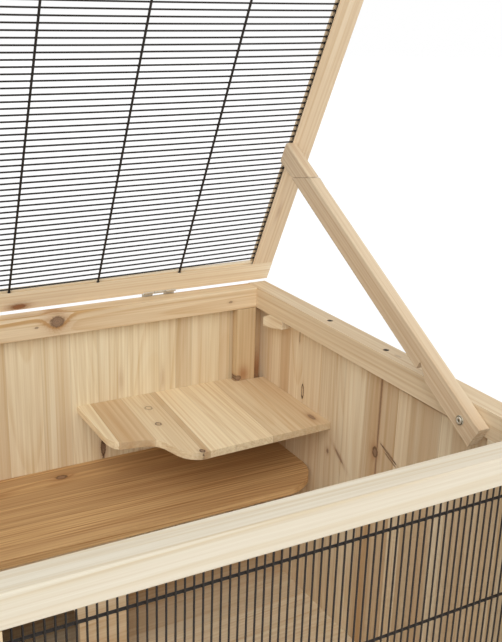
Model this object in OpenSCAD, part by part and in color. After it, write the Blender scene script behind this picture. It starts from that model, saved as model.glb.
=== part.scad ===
// Wooden small-animal enclosure with solid walls, a wire lid on a prop, a corner shelf,
// a platform over a hide, a ramp, and a wire front with a door.
// Millimetres, +Z up, front towards -Y. The origin is under the middle foot.

/* [Box] */
// Overall width of the box
boxWidth = 1150; // [1080:10:1250]
// Overall depth of the box
boxDepth = 600; // [570:5:640]
// Height of the rim above the ground
boxHeight = 500; // [480:5:560]
// Thickness of the solid walls
wallThick = 13; // [11:0.5:14]
// Width of the side rails
railWidth = 28.5; // [27.5:0.5:29]
// Width of the back rail
backRailWidth = 27; // [26:0.5:28]
// Height of all rails
railHeight = 30.5; // [28:0.5:33]
// Thickness of the floor board
floorThick = 12; // [9:1:14]
// Height of the feet
footHeight = 20; // [14:1:26]
// Side of a square foot
footSize = 60; // [40:5:80]
// Width of the upright battens in the back corners
battenWidth = 31.5; // [26:0.5:34]
// Thickness of the upright battens
battenThick = 14; // [12:0.5:16]
// Length of the glue blocks under the side rails
blockLength = 52; // [40:1:60]
// Height of the glue blocks at their thick end
blockHeight = 22.5; // [16:0.5:26]

/* [Front] */
// Height of the solid board at the foot of the front
kickHeight = 90; // [70:5:110]
// Width of the front posts
postWidth = 28.5; // [26:0.5:30]
// Height of the sill strips over the kick boards
sillHeight = 18; // [14:1:24]
// Width of the door's frame members
doorMember = 35; // [32:1:42]
// Thickness of the door's frame
doorThick = 16; // [14:0.5:18]
// Gap all round the door
doorGap = 2; // [1.5:0.1:3]
// Diameter of the door knob
knobDiameter = 24; // [18:1:30]
// Length of the turn button
buttonLength = 56; // [50:1:64]
// Width of the turn button
buttonWidth = 15; // [12:0.5:18]
// Thickness of the turn button
buttonThick = 8; // [6:0.5:10]

/* [Wire grilles] */
// Diameter of the thin wires
thinWire = 2; // [1.6:0.1:2.2]
// Diameter of the cross wires
crossWire = 3; // [2.6:0.1:3.2]
// Distance between thin wires
wirePitch = 8.42; // [7.8:0.02:10]
// Distance between cross wires
crossPitch = 120; // [110:1:130]

/* [Lid] */
// Thickness of the lid's frame
lidThick = 10; // [9.5:0.5:14]
// Width of the lid's side members
lidStile = 33.5; // [32:0.5:38]
// Width of the lid's back member
lidRail = 32; // [31:0.5:36]
// Depth of the groove that holds the grille's edge
grooveDepth = 4; // [3.5:0.5:6]
// Thickness of the lip between that groove and the frame's inner face
grooveLip = 0.9; // [0.8:0.1:1.5]
// Gap between the rim and the closed lid
lidGap = 3.8; // [3.6:0.1:4.4]
// Length of one lid hinge
hingeLength = 49; // [42:1:60]
// Distance from the middle hinge to the outer ones
hingeSpread = 400.5; // [380:0.5:440]

/* [Prop] */
// Thickness of the prop
strutThick = 15; // [12:0.5:16]
// Depth of the prop's section
strutDepth = 29; // [26:0.5:30]
// Distance from the prop's bolt to its lower end
strutTail = 25; // [20:0.5:26]
// Depth of the notch under the prop
notchDepth = 12.5; // [10:0.5:14]
// Diameter of the bolt's washer
washerDiameter = 11; // [10:0.5:14]

/* [Shelf and platform] */
// Drop from the rim to the corner shelf
shelfDrop = 142.5; // [141:0.5:160]
// Length of the corner shelf along the back wall
shelfLength = 303.5; // [285:0.5:330]
// Depth of the corner shelf along the side wall
shelfDepth = 211; // [190:1:240]
// Thickness of the corner shelf
shelfThick = 10; // [8:0.5:13]
// Drop from the rim to the platform
platformDrop = 231; // [215:1:245]
// Thickness of the platform
platformThick = 10; // [8:0.5:13]
// Length of the platform
platformLength = 560; // [520:5:620]
// Depth of the platform
platformDepth = 195; // [180:1:215]
// Radius of the platform's front right corner
platformCorner = 63; // [40:1:80]
// Width of the hide
hideWidth = 240; // [220:5:270]
// Setback of the hide from the platform's edges
hideSetback = 14; // [10:1:20]
// Thickness of the hide's boards
hideThick = 10; // [8:0.5:12]
// Width of the doorway in the hide
doorwayWidth = 110; // [80:5:130]
// Height of the doorway in the hide
doorwayHeight = 130; // [100:5:150]
// Width of the ramp
rampWidth = 110; // [80:5:140]
// Horizontal run of the ramp
rampRun = 380; // [320:5:440]
// Thickness of the ramp board
rampThick = 10; // [8:0.5:13]
// Number of treads on the ramp
treadCount = 9; // [5:1:12]

/* [Hidden] */
woodPale = "#DEC49C";
woodWarm = "#D2AE7C";
woodTan = "#C8A578";
steel = "#A9ADB0";
blackWire = "#3C3732";
felt = "#5A5652";

halfWidth = boxWidth / 2;
halfDepth = boxDepth / 2;
rimTop = boxHeight;
rimLow = rimTop - railHeight;
wallLow = footHeight + railHeight;
floorTop = wallLow + floorThick;
railX = halfWidth - railWidth;
wallX = halfWidth - wallThick;
railBackY = halfDepth - backRailWidth;
wallBackY = halfDepth - wallThick;
frontInY = -halfDepth + postWidth;
postX = halfWidth - postWidth;
kickTop = wallLow + kickHeight;
sillTop = kickTop + sillHeight;
midPost = postWidth / 2;

// the lid is drawn closed about its hinge line, then turned open
lidOpen = 63;
knuckleRadius = 3;
pinRadius = 1.3;
leafThick = 1.2;
hingeInset = 3.5;
faceBelowAxis = 2.4;
hingeRise = lidGap + faceBelowAxis;
hingeY = halfDepth - hingeInset;
hingeZ = rimTop + hingeRise;
lidBackEdge = -0.4;
lidFrontEdge = -(boxDepth - hingeInset);
lidLow = -faceBelowAxis;
lidHigh = lidLow + lidThick;
grooveGap = 0.2;
lidInBack = lidBackEdge - lidRail;
lidInFront = lidFrontEdge + 35;
lidInX = halfWidth - lidStile;
crossZ = lidLow + grooveLip + grooveGap + crossWire / 2;
thinZ = crossZ + crossWire / 2 + thinWire / 2 + 0.02;
firstThin = lidInBack - 7.5;
thinCount = floor((firstThin - (lidInFront + 5)) / wirePitch) + 1;

// the prop turns on a bolt in the right rail
pivotBack = 489.2;
pivotDrop = 17.1;
strutAngle = 30.9;
strutReach = 408;
scarfAngle = 50;
scarfGap = 0.5;
railClear = 0.5;
boltRadius = 2.5;
strutX = railX - railClear - strutThick / 2;
pivotY = halfDepth - pivotBack;
pivotZ = rimTop - pivotDrop;
washerThick = 1.2;

shelfTop = rimTop - shelfDrop;
platformTop = rimTop - platformDrop;
platformLow = platformTop - platformThick;
platformLeft = wallX - platformLength;
platformFront = wallBackY - platformDepth;
hideLeft = platformLeft + 2 * hideSetback;
hideFrontY = platformFront + hideSetback;
rampSide = platformFront + 2 * hideSetback;

doorLeft = -postX + doorGap;
doorRight = -midPost - doorGap;
doorLow = sillTop + doorGap;
doorTop = rimLow - doorGap;
doorFront = -halfDepth;
doorBack = doorFront + doorThick;
doorAxisX = doorLeft - doorGap / 2;
doorAxisY = doorFront - 3.1;
doorHingeLength = 40;
doorHingeLift = 50;
buttonZ = (doorLow + doorTop) / 2 + 60;

// ---------- shared shapes ----------

module slab(x0, x1, y0, y1, z0, z1) {
    translate([x0, y0, z0])
        cube([x1 - x0, y1 - y0, z1 - z0]);
}

module openLid() {
    translate([0, hingeY, hingeZ])
        rotate([-lidOpen, 0, 0])
            children();
}

module wireX(x0, x1, y, z, d) {
    translate([x0, y, z])
        rotate([0, 90, 0])
            cylinder(d = d, h = x1 - x0, $fn = 10);
}

module wireY(x, y0, y1, z, d) {
    translate([x, y1, z])
        rotate([90, 0, 0])
            cylinder(d = d, h = y1 - y0, $fn = 10);
}

module wireZ(x, y, z0, z1, d) {
    translate([x, y, z0])
        cylinder(d = d, h = z1 - z0, $fn = 10);
}

// ---------- base ----------

module feet() {
    color(woodTan) {
        for (sx = [-1, 1], sy = [-1, 1])
            translate([sx * (halfWidth - footSize / 2), sy * (halfDepth - footSize / 2), 0])
                slab(-footSize / 2, footSize / 2, -footSize / 2, footSize / 2, 0, footHeight);
        slab(-footSize / 2, footSize / 2, -footSize / 2, footSize / 2, 0, footHeight);
    }
}

module back_bottom_rail() {
    color(woodPale)
        slab(-railX, railX, railBackY, halfDepth, footHeight, wallLow);
}

module front_bottom_rail() {
    color(woodPale)
        slab(-railX, railX, -halfDepth, frontInY, footHeight, wallLow);
}

module left_bottom_rail() {
    color(woodPale)
        slab(-halfWidth, -railX, -halfDepth, halfDepth, footHeight, wallLow);
}

module right_bottom_rail() {
    color(woodPale)
        slab(railX, halfWidth, -halfDepth, halfDepth, footHeight, wallLow);
}

module floor_bearer() {
    color(woodPale)
        slab(-footSize / 2, footSize / 2, frontInY, railBackY, footHeight, wallLow);
}

module floor_panel() {
    color(woodWarm)
        difference() {
            slab(-wallX, wallX, -halfDepth + wallThick, wallBackY, wallLow, floorTop);
            for (sx = [-1, 1])
                translate([sx * halfWidth, -halfDepth, wallLow])
                    slab(-postWidth, postWidth, -1, postWidth, -1, floorThick + 1);
            slab(-midPost, midPost, -halfDepth, frontInY, wallLow - 1, floorTop + 1);
        }
}

// ---------- walls ----------

module back_panel() {
    color(woodWarm)
        slab(-wallX, wallX, wallBackY, halfDepth, wallLow, rimLow);
}

module left_panel() {
    color(woodWarm)
        slab(-halfWidth, -wallX, frontInY, halfDepth, wallLow, rimLow);
}

module right_panel() {
    color(woodWarm)
        slab(wallX, halfWidth, frontInY, halfDepth, wallLow, rimLow);
}

module back_left_batten() {
    color(woodPale)
        slab(-railX, -railX + battenWidth, wallBackY - battenThick, wallBackY,
            floorTop, rimLow);
}

module back_right_batten() {
    color(woodPale)
        slab(railX - battenWidth, railX, wallBackY - battenThick, wallBackY,
            floorTop, rimLow);
}

// side view of a glue block: y is its length, with the thick end towards the corner
function blockOutline(turn) = let (l = blockLength / 2, h = blockHeight)
    [for (p = [[l, -h], [l, -h * 0.37], [l - 19, 0], [-l, 0], [-l, -h * 0.55], [0, -h * 0.82]])
        [turn * p[0], p[1]]];

module corner_blocks() {
    color(woodPale)
        for (sx = [-1, 1], sy = [-1, 1])
            translate([sx > 0 ? railX : -wallX,
                sy > 0 ? halfDepth - 73 : frontInY + 4 + blockLength / 2, rimLow])
                rotate([90, 0, 90])
                    linear_extrude(wallX - railX)
                        polygon(blockOutline(sy));
}

// ---------- rim ----------

module back_top_rail() {
    color(woodPale)
        slab(-railX, railX, railBackY, halfDepth, rimLow, rimTop);
}

module front_top_rail() {
    color(woodPale)
        slab(-railX, railX, -halfDepth, frontInY, rimLow, rimTop);
}

module left_top_rail() {
    color(woodPale)
        difference() {
            slab(-halfWidth, -railX, -halfDepth, halfDepth, rimLow, rimTop);
            screwSinks(-1);
        }
}

module right_top_rail() {
    color(woodPale)
        difference() {
            slab(railX, halfWidth, -halfDepth, halfDepth, rimLow, rimTop);
            screwSinks(1);
            translate([railX - 1, pivotY, pivotZ])
                rotate([0, 90, 0])
                    cylinder(r = boltRadius, h = 19, $fn = 32);
        }
}

// distances of the rail screws from the back face
screwBacks = [boxDepth * 0.33, boxDepth * 0.533, boxDepth - 40];

module screwSinks(side) {
    for (b = screwBacks)
        translate([side * (halfWidth - 15), halfDepth - b, rimTop - 1.6])
            cylinder(d = 8.2, h = 3, $fn = 24);
}

module rail_screws() {
    color(steel)
        for (side = [-1, 1], b = screwBacks)
            translate([side * (halfWidth - 15), halfDepth - b, rimTop - 1.6])
                difference() {
                    cylinder(d = 8, h = 1.4, $fn = 24);
                    for (a = [0, 90])
                        rotate([0, 0, a])
                            translate([-2.2, -0.5, 0.7])
                                cube([4.4, 1, 2]);
                }
}

// ---------- front ----------

module front_left_post() {
    color(woodPale)
        slab(-halfWidth, -postX, -halfDepth, frontInY, wallLow, rimLow);
}

module front_right_post() {
    color(woodPale)
        slab(postX, halfWidth, -halfDepth, frontInY, wallLow, rimLow);
}

module front_centre_post() {
    color(woodPale)
        difference() {
            slab(-midPost, midPost, -halfDepth, frontInY, wallLow, rimLow);
            translate([0, -halfDepth + 14, buttonZ])
                rotate([90, 0, 0])
                    cylinder(r = 2, h = 20, $fn = 24);
        }
}

module kick_boards() {
    color(woodWarm)
        for (x0 = [-postX, midPost])
            slab(x0, x0 + postX - midPost, -halfDepth, -halfDepth + wallThick,
                wallLow, kickTop);
}

module front_sills() {
    color(woodPale)
        for (x0 = [-postX, midPost])
            slab(x0, x0 + postX - midPost, -halfDepth, frontInY, kickTop, sillTop);
}

module front_grille() {
    x0 = midPost - 8;
    x1 = postX - 0.7;
    z0 = sillTop - 8;
    z1 = rimLow + 8;
    n = floor((x1 - x0 - 8) / wirePitch) + 1;
    m = floor((z1 - z0 - 8) / crossPitch) + 1;
    left = (x0 + x1 - (n - 1) * wirePitch) / 2;
    low = (z0 + z1 - (m - 1) * crossPitch) / 2;
    yThin = frontInY + thinWire / 2 + 0.1;
    yCross = yThin + thinWire / 2 + crossWire / 2 + 0.02;
    color(blackWire) {
        for (i = [0 : n - 1])
            wireZ(left + i * wirePitch, yThin, z0, z1, thinWire);
        wireX(x0, x1, yCross, z1 - 2, crossWire);
        for (z = concat([z0 + 2], [for (i = [0 : m - 1]) low + i * crossPitch]))
            wireX(x0, postX + 8, yCross, z, crossWire);
    }
}

module door_stop() {
    color(woodPale)
        slab(-midPost - 11, -midPost, doorBack + 0.3, frontInY, sillTop, rimLow);
}

// ---------- inside ----------

function bezier(a, b, c, d, n) = [for (i = [1 : n])
    let (t = i / n, u = 1 - t)
        u * u * u * a + 3 * u * u * t * b + 3 * u * t * t * c + t * t * t * d];

// the shelf's outline, measured from the box's back right outer corner
module shelfOutline() {
    w = wallThick + 0.2;
    cutX = railWidth + battenWidth + 1.6;
    cutY = wallThick + battenThick + 0.7;
    kx = shelfLength / 303.5;
    ky = shelfDepth / 211;
    function at(x, y) = [x * kx, y * ky];
    polygon(concat(
        [[-shelfLength, -w], at(-303.5, -113)],
        bezier(at(-303.5, -113), at(-303.5, -131), at(-299, -146), at(-285, -147), 8),
        bezier(at(-285, -147), at(-262, -150.5), at(-247, -152), at(-241, -167.7), 10),
        bezier(at(-241, -167.7), at(-235, -184), at(-235, -212), at(-206, -217), 12),
        [at(-196, -215.8), [-w, -211 * ky], [-w, -cutY]],
        [[1.4 - cutX, -cutY], [-cutX, 1.4 - cutY], [-cutX, -w]]));
}

module corner_shelf() {
    color(woodTan)
        translate([halfWidth, halfDepth, shelfTop - shelfThick])
            linear_extrude(shelfThick)
                shelfOutline();
}

module platformOutline() {
    right = wallX - 0.2;
    back = wallBackY - 0.2;
    r = platformCorner;
    difference() {
        union() {
            translate([platformLeft, platformFront])
                square([right - r - platformLeft, back - platformFront]);
            translate([right - r - 1, platformFront + r])
                square([r + 1, back - platformFront - r]);
            translate([right - r, platformFront + r])
                circle(r, $fn = 64);
        }
        translate([railX - battenWidth - 0.5, wallBackY - battenThick - 0.5])
            square([battenWidth + 1, battenThick + 2]);
    }
}

module platform() {
    color(woodWarm)
        translate([0, 0, platformLow])
            linear_extrude(platformThick)
                platformOutline();
}

module hide_front() {
    mid = hideLeft + hideWidth / 2;
    springing = floorTop + doorwayHeight - doorwayWidth / 2;
    color(woodWarm)
        difference() {
            slab(hideLeft, hideLeft + hideWidth, hideFrontY, hideFrontY + hideThick,
                floorTop, platformLow);
            slab(mid - doorwayWidth / 2, mid + doorwayWidth / 2, hideFrontY - 1,
                hideFrontY + hideThick + 1, floorTop - 1, springing);
            translate([mid, hideFrontY + hideThick + 1, springing])
                rotate([90, 0, 0])
                    cylinder(d = doorwayWidth, h = hideThick + 2, $fn = 48);
        }
}

module hide_sides() {
    color(woodWarm)
        for (x0 = [hideLeft, hideLeft + hideWidth - hideThick])
            slab(x0, x0 + hideThick, hideFrontY + hideThick, wallBackY, floorTop, platformLow);
}

// the ramp leans from the floor to the platform's left edge
rampRise = platformTop - floorTop;
rampTilt = atan(rampRise / rampRun);
rampHead = platformLeft - 0.5;
treadSize = 8;
treadHeight = 6;

module onRamp() {
    translate([rampHead, rampSide, platformTop])
        rotate([0, -rampTilt, 0])
            children();
}

module ramp_board() {
    color(woodWarm)
        translate([0, rampSide, 0])
            rotate([90, 0, 0])
                translate([0, 0, -rampWidth])
                    linear_extrude(rampWidth)
                        polygon([[rampHead, platformTop],
                            [rampHead, platformTop - rampThick / cos(rampTilt)],
                            [rampHead - rampRun + rampThick / sin(rampTilt), floorTop],
                            [rampHead - rampRun, floorTop]]);
}

module ramp_treads() {
    slope = sqrt(rampRun * rampRun + rampRise * rampRise);
    edge = rampWidth * 0.05;
    color(woodPale)
        onRamp()
            for (i = [1 : treadCount])
                translate([-slope * i / (treadCount + 1) - treadSize / 2, edge, 0.02])
                    cube([treadSize, rampWidth - 2 * edge, treadHeight]);
}

// ---------- lid hinges ----------

third = (hingeLength - 1) / 3;
knuckleGap = 0.3;

// x extents of the two outer knuckles and of the middle one
module atLidHinges() {
    for (x = [-hingeSpread, 0, hingeSpread])
        translate([x, 0, 0])
            children();
}

module ringX(x0, x1, r, bore) {
    translate([x0, 0, 0])
        rotate([0, 90, 0])
            difference() {
                cylinder(r = r, h = x1 - x0, $fn = 32);
                translate([0, 0, -1])
                    cylinder(r = bore, h = x1 - x0 + 2, $fn = 32);
            }
}

module lid_hinge_fixed_leaves() {
    h = hingeLength / 2;
    w = third / 2 + knuckleGap;
    back = hingeInset;
    color(steel)
        atLidHinges()
            translate([0, hingeY, hingeZ])
                difference() {
                    union() {
                        slab(-h, h, back, back + leafThick, -hingeRise - 26, -hingeRise - 0.5);
                        for (x = [-h, w]) {
                            slab(x, x + h - w, back, back + leafThick, -hingeRise - 1, 0.7);
                            slab(x, x + h - w, 1.9, back + 0.2, -0.9, 0.7);
                            ringX(x, x + h - w, knuckleRadius, pinRadius);
                        }
                    }
                    for (x = [-h + 8, h - 8])
                        translate([x, back + 3, -hingeRise - 14])
                            rotate([90, 0, 0])
                                cylinder(r = 1.6, h = 6, $fn = 24);
                }
}

module lid_hinge_pins() {
    color(steel)
        atLidHinges()
            translate([-hingeLength / 2, hingeY, hingeZ])
                rotate([0, 90, 0])
                    cylinder(r = pinRadius, h = hingeLength, $fn = 32);
}

// a round head on a short shank that fills the hole in a leaf
module leafScrew() {
    rotate_extrude($fn = 24)
        polygon([[0, 0], [1.6, 0], [1.6, leafThick], [3, leafThick], [2.6, leafThick + 1],
            [1.4, leafThick + 1.4], [0, leafThick + 1.5]]);
}

module fixed_leaf_screws() {
    h = hingeLength / 2;
    color(steel)
        atLidHinges()
            for (x = [-h + 8, h - 8])
                translate([x, halfDepth, rimTop - 14])
                    rotate([-90, 0, 0])
                        leafScrew();
}

module lid_hinge_moving_leaves() {
    h = hingeLength / 2;
    w = third / 2 - knuckleGap;
    color(steel)
        openLid()
            atLidHinges()
                difference() {
                    union() {
                        ringX(-w, w, knuckleRadius, pinRadius + 0.05);
                        slab(-w, w, lidBackEdge + 0.1, lidBackEdge + 0.1 + leafThick, 1.7,
                            lidHigh + leafThick);
                        slab(-h, h, lidBackEdge - 24, lidBackEdge + 0.1 + leafThick, lidHigh,
                            lidHigh + leafThick);
                    }
                    for (x = [-h + 8, h - 8])
                        translate([x, lidBackEdge - 14, lidHigh - 2])
                            cylinder(r = 1.6, h = 6, $fn = 24);
                }
}

module lid_leaf_screws() {
    h = hingeLength / 2;
    color(steel)
        openLid()
            atLidHinges()
                for (x = [-h + 8, h - 8])
                    translate([x, lidBackEdge - 14, lidHigh])
                        leafScrew();
}

// ---------- lid frame ----------

// groove for the ends of the cross wires, in the back and front rails
module crossGroove(y0, y1) {
    slab(-lidInX - grooveDepth, lidInX + grooveDepth, y0, y1, lidLow + grooveLip,
        crossZ + crossWire / 2 + grooveGap);
}

module lid_back_rail() {
    color(woodPale)
        openLid()
            difference() {
                slab(-halfWidth, halfWidth, lidInBack, lidBackEdge, lidLow, lidHigh);
                crossGroove(lidInBack - 0.01, lidInBack + grooveDepth);
                atLidHinges()
                    translate([-hingeLength / 2 - 1, 0, 0])
                        rotate([0, 90, 0])
                            cylinder(r = knuckleRadius + 0.4, h = hingeLength + 2, $fn = 32);
            }
}

module lid_front_rail() {
    color(woodPale)
        openLid()
            difference() {
                slab(-halfWidth, halfWidth, lidFrontEdge, lidInFront, lidLow, lidHigh);
                crossGroove(lidInFront - grooveDepth, lidInFront + 0.01);
            }
}

module lidStileShape() {
    difference() {
        slab(lidInX, halfWidth, lidInFront, lidInBack, lidLow, lidHigh);
        slab(lidInX - 0.01, lidInX + grooveDepth, lidInFront - 1, lidInBack + 1,
            lidLow + grooveLip, thinZ + thinWire / 2 + grooveGap);
    }
}

module lid_left_stile() {
    color(woodPale)
        openLid()
            mirror([1, 0, 0])
                lidStileShape();
}

module lid_right_stile() {
    color(woodPale)
        openLid()
            lidStileShape();
}

module lid_grille() {
    tuck = grooveDepth - 2 * grooveGap;
    x1 = lidInX + tuck;
    y0 = lidInFront - tuck;
    y1 = lidInBack + tuck;
    firstCross = halfWidth - 150;
    crossCount = floor((2 * lidInX - 40) / crossPitch) + 1;
    color(blackWire)
        openLid() {
            for (i = [0 : thinCount - 1])
                wireX(-x1, x1, firstThin - i * wirePitch, thinZ, thinWire);
            for (i = [0 : crossCount - 1])
                if (firstCross - i * crossPitch > -lidInX + 6)
                    wireY(firstCross - i * crossPitch, y0, y1, crossZ, crossWire);
            for (sx = [-1, 1])
                wireY(sx * (x1 - crossWire / 2), y0, y1, crossZ, crossWire);
        }
}

module lid_bumpers() {
    color(felt)
        openLid()
            for (sx = [-1, 1])
                translate([sx * (halfWidth - 14), lidFrontEdge + 14, lidLow - lidGap + 0.4])
                    cylinder(d = 14, h = lidGap - 0.4, $fn = 32);
}

// ---------- prop ----------

// side view of the prop: x along it from the bolt, y square to it
module strutProfile() {
    h = strutDepth / 2;
    t = strutTail;
    scarf = strutDepth * tan(scarfAngle);
    difference() {
        polygon([[-t, -h], [strutReach, -h], [strutReach - scarf, h], [-t + 2, h],
            [-t + 0.6, h - 0.6], [-t, h - 2]]);
        polygon([[108 - strutTail, -h - 1], [108 - strutTail, -h + notchDepth],
            [85 - strutTail, -h], [85 - strutTail, -h - 1]]);
        circle(r = boltRadius + 0.05, $fn = 48);
    }
}

module alongStrut(x0, x1) {
    translate([x0, pivotY, pivotZ])
        rotate([0, 0, 90])
            rotate([90, 0, 0])
                rotate([0, 0, strutAngle])
                    linear_extrude(x1 - x0)
                        children();
}

module prop_strut() {
    color(woodWarm)
        alongStrut(strutX - strutThick / 2, strutX + strutThick / 2)
            strutProfile();
}

// the fixed end of the prop: it stays on the lid and meets the prop in a sloping cut
module prop_block() {
    h = strutDepth / 2;
    start = strutReach + scarfGap / cos(scarfAngle);
    scarf = strutDepth * tan(scarfAngle);
    color(woodWarm)
        difference() {
            alongStrut(strutX - strutThick / 2, strutX + strutThick / 2)
                polygon([[start, -h], [start + 60, -h], [start + 60, h], [start - scarf, h]]);
            openLid()
                slab(-halfWidth, halfWidth, lidFrontEdge, 0, lidLow - 0.02, lidHigh + 80);
        }
}

module strut_pivot_bolt() {
    x0 = strutX - strutThick / 2 - 0.3 - washerThick;
    color(steel)
        translate([x0, pivotY, pivotZ])
            rotate([0, 90, 0])
                union() {
                    cylinder(r = boltRadius, h = railX + 17 - x0, $fn = 32);
                    translate([0, 0, -2.6])
                        cylinder(d1 = 6, d2 = 8.6, h = 2.6, $fn = 32);
                }
}

module strut_washer() {
    x0 = strutX - strutThick / 2 - 0.3 - washerThick;
    color(steel)
        translate([x0, pivotY, pivotZ])
            rotate([0, 90, 0])
                difference() {
                    cylinder(d = washerDiameter, h = washerThick, $fn = 32);
                    translate([0, 0, -1])
                        cylinder(r = boltRadius, h = 4, $fn = 32);
                }
}

// ---------- door ----------

doorInX0 = doorLeft + doorMember;
doorInX1 = doorRight - doorMember;
doorInZ0 = doorLow + doorMember;
doorInZ1 = doorTop - doorMember;

module door_left_stile() {
    color(woodPale)
        slab(doorLeft, doorInX0, doorFront, doorBack, doorLow, doorTop);
}

knobPeg = 3.9;

module door_right_stile() {
    color(woodPale)
        difference() {
            slab(doorInX1, doorRight, doorFront, doorBack, doorLow, doorTop);
            translate([(doorInX1 + doorRight) / 2, doorFront + 10, (doorLow + doorTop) / 2])
                rotate([90, 0, 0])
                    cylinder(r = knobPeg + 0.1, h = 20, $fn = 48);
        }
}

module door_top_rail() {
    color(woodPale)
        slab(doorInX0, doorInX1, doorFront, doorBack, doorInZ1, doorTop);
}

module door_bottom_rail() {
    color(woodPale)
        slab(doorInX0, doorInX1, doorFront, doorBack, doorLow, doorInZ0);
}

module door_grille() {
    x0 = doorInX0 - 8;
    x1 = doorInX1 + 8;
    z0 = doorInZ0 - 8;
    z1 = doorInZ1 + 8;
    n = floor((x1 - x0 - 8) / wirePitch) + 1;
    m = floor((z1 - z0 - 8) / crossPitch) + 1;
    left = (x0 + x1 - (n - 1) * wirePitch) / 2;
    low = (z0 + z1 - (m - 1) * crossPitch) / 2;
    yThin = doorBack + thinWire / 2 + 0.1;
    yCross = yThin + thinWire / 2 + crossWire / 2 + 0.02;
    color(blackWire) {
        for (i = [0 : n - 1])
            wireZ(left + i * wirePitch, yThin, z0, z1, thinWire);
        for (z = concat([z0 + 2, z1 - 2], [for (i = [0 : m - 1]) low + i * crossPitch]))
            wireX(x0, x1, yCross, z, crossWire);
    }
}

module door_knob() {
    r = knobDiameter / 2;
    color(woodTan)
        translate([(doorInX1 + doorRight) / 2, doorFront, (doorLow + doorTop) / 2])
            rotate([90, 0, 0])
                rotate_extrude($fn = 48)
                    polygon([[0, -9], [knobPeg, -9], [knobPeg, 0], [r * 0.62, 0], [r * 0.5, 6],
                        [r * 0.62, 10], [r * 0.9, 12.5], [r, 15.5], [r * 0.94, 18.5],
                        [r * 0.7, 21], [r * 0.35, 22.3], [0, 22.6]]);
}

module atDoorHinges() {
    for (z = [doorLow + doorHingeLift, doorTop - doorHingeLift])
        translate([doorAxisX, doorAxisY, z])
            children();
}

module ringZ(z0, z1, r, bore) {
    translate([0, 0, z0])
        difference() {
            cylinder(r = r, h = z1 - z0, $fn = 32);
            translate([0, 0, -1])
                cylinder(r = bore, h = z1 - z0 + 2, $fn = 32);
        }
}

module door_hinge_fixed_leaves() {
    h = doorHingeLength / 2;
    w = doorHingeLength / 6 + knuckleGap;
    y0 = 3.1 - leafThick;
    color(steel)
        atDoorHinges()
            difference() {
                union() {
                    slab(-23, -3.6, y0, 3.1, -h, h);
                    for (z = [-h, w]) {
                        slab(-4, -0.5, y0, 3.1, z, z + h - w);
                        ringZ(z, z + h - w, knuckleRadius, pinRadius);
                    }
                }
                for (z = [-11, 11])
                    translate([-14, 5, z])
                        rotate([90, 0, 0])
                            cylinder(r = 1.6, h = 8, $fn = 24);
            }
}

module door_hinge_pins() {
    color(steel)
        atDoorHinges()
            translate([0, 0, -doorHingeLength / 2])
                cylinder(r = pinRadius, h = doorHingeLength, $fn = 32);
}

module post_leaf_screws() {
    color(steel)
        atDoorHinges()
            for (z = [-11, 11])
                translate([-14, 3.1, z])
                    rotate([90, 0, 0])
                        leafScrew();
}

module door_hinge_moving_leaves() {
    h = doorHingeLength / 2;
    w = doorHingeLength / 6 - knuckleGap;
    y0 = 3.1 - leafThick;
    color(steel)
        atDoorHinges()
            difference() {
                union() {
                    slab(3.6, 23, y0, 3.1, -h, h);
                    slab(0.5, 4, y0, 3.1, -w, w);
                    ringZ(-w, w, knuckleRadius, pinRadius + 0.05);
                }
                for (z = [-11, 11])
                    translate([14, 5, z])
                        rotate([90, 0, 0])
                            cylinder(r = 1.6, h = 8, $fn = 24);
            }
}

module door_leaf_screws() {
    color(steel)
        atDoorHinges()
            for (z = [-11, 11])
                translate([14, 3.1, z])
                    rotate([90, 0, 0])
                        leafScrew();
}

module turn_button() {
    color(woodTan)
        translate([0, -halfDepth - 0.4, buttonZ])
            rotate([90, 0, 0])
                linear_extrude(buttonThick)
                    difference() {
                        union() {
                            square([buttonWidth, buttonLength - buttonWidth], center = true);
                            for (s = [-1, 1])
                                translate([0, s * (buttonLength - buttonWidth) / 2])
                                    circle(d = buttonWidth, $fn = 40);
                        }
                        circle(r = 2.06, $fn = 32);
                    }
}

module turn_button_screw() {
    color(steel)
        translate([0, -halfDepth + 12, buttonZ])
            rotate([90, 0, 0])
                rotate_extrude($fn = 32)
                    polygon([[0, 0], [2, 0], [2, 12.7 + buttonThick], [4, 12.7 + buttonThick],
                        [3.6, 14 + buttonThick], [2.2, 14.8 + buttonThick],
                        [0, 15 + buttonThick]]);
}

feet();
back_bottom_rail();
front_bottom_rail();
left_bottom_rail();
right_bottom_rail();
floor_bearer();
floor_panel();
back_panel();
left_panel();
right_panel();
back_left_batten();
back_right_batten();
corner_blocks();
back_top_rail();
front_top_rail();
left_top_rail();
right_top_rail();
rail_screws();
front_left_post();
front_right_post();
front_centre_post();
kick_boards();
front_sills();
front_grille();
door_stop();
corner_shelf();
platform();
hide_front();
hide_sides();
ramp_board();
ramp_treads();
lid_hinge_fixed_leaves();
lid_hinge_pins();
fixed_leaf_screws();
strut_pivot_bolt();
strut_washer();
door_hinge_fixed_leaves();
door_hinge_pins();
post_leaf_screws();
turn_button_screw();
lid_back_rail();
lid_front_rail();
lid_left_stile();
lid_right_stile();
lid_grille();
lid_hinge_moving_leaves();
lid_leaf_screws();
lid_bumpers();
prop_block();
prop_strut();
door_left_stile();
door_right_stile();
door_top_rail();
door_bottom_rail();
door_grille();
door_hinge_moving_leaves();
door_leaf_screws();
door_knob();
turn_button();
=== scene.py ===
import math
import random
import bmesh
import bpy
from mathutils import Matrix, Vector


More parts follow.
